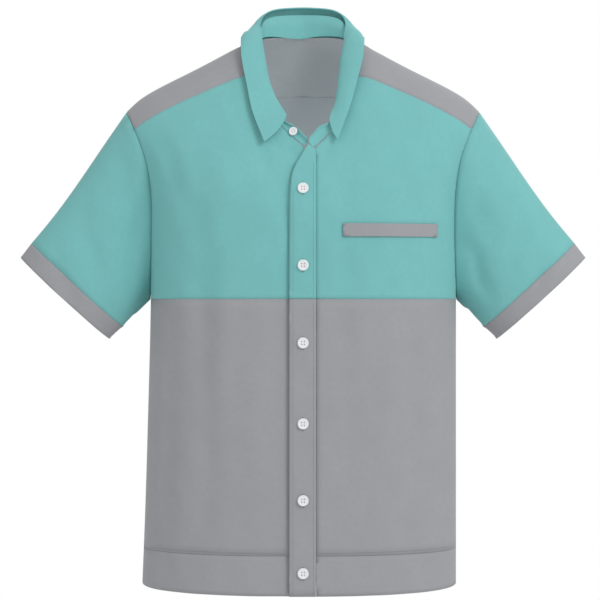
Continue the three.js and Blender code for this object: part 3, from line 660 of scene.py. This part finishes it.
class SHIRT_OT_buttons(Operator):
    """Makes the buttons smooth and polished"""

    bl_idname = "shirt.buttons"
    bl_label = "Make the buttons"

    def execute(self, context):
        material = shirt_materials()["polished_polyester_button"]
        for node in BUTTON_NODES:
            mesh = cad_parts[node].data.copy()
            piece = add_piece(f"{node}_turned", mesh, material)
            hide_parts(node)
        return {"FINISHED"}


class SHIRT_OT_stitches(Operator):
    """Adds the topstitching and the buttonholes"""

    bl_idname = "shirt.stitches"
    bl_label = "Add the stitches"

    def execute(self, context):
        upper = surface_tree(["front_right_upper", "front_left_upper", "placket_upper", "yoke", "back"])
        lower = surface_tree([
            "front_right_lower", "front_left_lower", "placket_lower", "back", "hem_band_front_right",
            "hem_band_front_left", "hem_band_back",
        ])
        holes = buttonhole_rows(context.scene.shirt_trim.buttonhole / MM)
        add_stitches("placket_stitches_upper", PLACKET_ROWS_UPPER, "teal", upper)
        add_stitches("placket_stitches_lower", PLACKET_ROWS_LOWER, "grey", lower)
        add_stitches("hem_stitches", HEM_ROWS, "grey", lower)
        add_stitches("buttonholes_upper", holes["teal"], "teal", upper)
        add_stitches("buttonholes_lower", holes["grey"], "grey", lower)
        return {"FINISHED"}


class SHIRT_OT_stage(Operator):
    """Sets the camera, the pale floor, the lamps and the plain surroundings"""

    bl_idname = "shirt.stage"
    bl_label = "Set the stage"

    def execute(self, context):
        stage = context.scene.shirt_stage
        scene = context.scene
        scene.view_settings.view_transform = "Standard"
        camera_data = bpy.data.cameras.new("camera")
        camera_data.sensor_width = SENSOR_WIDTH
        camera_data.lens = SENSOR_WIDTH * stage.distance / stage.view_width
        camera_data.clip_end = CLIP_END
        camera = bpy.data.objects.new("camera", camera_data)
        camera.location = Vector(stage.aim) + Vector((0, -stage.distance, 0))
        camera.rotation_euler = (math.radians(90), 0, 0)
        scene.collection.objects.link(camera)
        scene.camera = camera
        self.add_floor(scene, CAD_BOX[0][2] - stage.floor_drop)
        for lamp in LAMPS:
            self.add_lamp(scene, *lamp)
        self.set_world(scene)
        return {"FINISHED"}

    def add_lamp(self, scene, name, place, size, power, aim):
        """A round soft lamp, turned to its aim."""
        data = bpy.data.lights.new(name, "AREA")
        data.shape = "DISK"
        data.size = size
        data.energy = power
        lamp = bpy.data.objects.new(name, data)
        lamp.location = place
        lamp.rotation_euler = (Vector(aim) - Vector(place)).to_track_quat("-Z", "Y").to_euler()
        scene.collection.objects.link(lamp)

    def add_floor(self, scene, height):
        """A pale round floor that keeps the shirt's shadow."""
        mesh = bpy.data.meshes.new("floor")
        work = bmesh.new()
        bmesh.ops.create_circle(work, cap_ends=True, segments=FLOOR["sides"], radius=FLOOR["radius"])
        bmesh.ops.translate(work, verts=work.verts, vec=(0, 0, height))
        work.to_mesh(mesh)
        work.free()
        floor = bpy.data.objects.new("floor", mesh)
        material = fresh_material("pale_plaster_floor")
        tree = material.node_tree
        shader = add_node(tree, "ShaderNodeBsdfDiffuse", {"Color": hex_to_linear(FLOOR["colour"])})
        add_node(tree, "ShaderNodeOutputMaterial", (), {"Surface": shader.outputs["BSDF"]})
        mesh.materials.append(material)
        scene.collection.objects.link(floor)

    def set_world(self, scene):
        """Even white light all round, seen as plain white by the camera and in gloss and glass."""
        world = bpy.data.worlds.new("plain_surroundings")
        world.use_nodes = True
        tree = world.node_tree
        tree.nodes.clear()
        light = add_node(tree, "ShaderNodeBackground", {"Color": (1, 1, 1, 1), "Strength": WORLD_LIGHT})
        seen = add_node(tree, "ShaderNodeBackground", {"Color": (1, 1, 1, 1), "Strength": WORLD_SEEN})
        rays = add_node(tree, "ShaderNodeLightPath")
        camera_or_gloss = add_node(
            tree, "ShaderNodeMath", (),
            {0: rays.outputs["Is Camera Ray"], 1: rays.outputs["Is Glossy Ray"]}, operation="MAXIMUM",
        )
        any_seen = add_node(
            tree, "ShaderNodeMath", (),
            {0: camera_or_gloss.outputs[0], 1: rays.outputs["Is Transmission Ray"]}, operation="MAXIMUM",
        )
        both = add_node(
            tree, "ShaderNodeMixShader", (),
            {0: any_seen.outputs[0], 1: light.outputs[0], 2: seen.outputs[0]},
        )
        add_node(tree, "ShaderNodeOutputWorld", (), {"Surface": both.outputs[0]})
        scene.world = world


class SHIRT_PT_sidebar(Panel):
    """Lists the shirt's steps and sizes"""

    bl_idname = "SHIRT_PT_sidebar"
    bl_label = "Shirt"
    bl_space_type = "VIEW_3D"
    bl_region_type = "UI"
    bl_category = "Shirt"

    def draw(self, context):
        for step in STEPS:
            self.layout.operator(step)
        for group in (context.scene.shirt_cloth, context.scene.shirt_trim, context.scene.shirt_stage):
            for key in type(group).__annotations__:
                self.layout.prop(group, key)


STEPS = (
    "shirt.fronts", "shirt.back", "shirt.hem_bands", "shirt.sleeves", "shirt.placket", "shirt.collar",
    "shirt.buttons", "shirt.stitches", "shirt.stage",
)
CLASSES = (
    ShirtCloth, ShirtTrim, ShirtStage, SHIRT_OT_fronts, SHIRT_OT_back, SHIRT_OT_hem_bands, SHIRT_OT_sleeves,
    SHIRT_OT_placket, SHIRT_OT_collar, SHIRT_OT_buttons, SHIRT_OT_stitches, SHIRT_OT_stage, SHIRT_PT_sidebar,
)
GROUPS = {"shirt_cloth": ShirtCloth, "shirt_trim": ShirtTrim, "shirt_stage": ShirtStage}


def register():
    """Registers the classes and hangs the settings on the scene."""
    for item in CLASSES:
        bpy.utils.register_class(item)
    for name, group in GROUPS.items():
        setattr(bpy.types.Scene, name, PointerProperty(type=group))


def unregister():
    """Takes the settings off the scene and unregisters the classes."""
    for name in GROUPS:
        delattr(bpy.types.Scene, name)
    for item in reversed(CLASSES):
        bpy.utils.unregister_class(item)


def main():
    """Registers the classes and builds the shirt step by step."""
    register()
    bpy.ops.shirt.fronts()
    bpy.ops.shirt.back()
    bpy.ops.shirt.hem_bands()
    bpy.ops.shirt.sleeves()
    bpy.ops.shirt.placket()
    bpy.ops.shirt.collar()
    bpy.ops.shirt.buttons()
    bpy.ops.shirt.stitches()
    bpy.ops.shirt.stage()


if __name__ == "__main__":
    main()
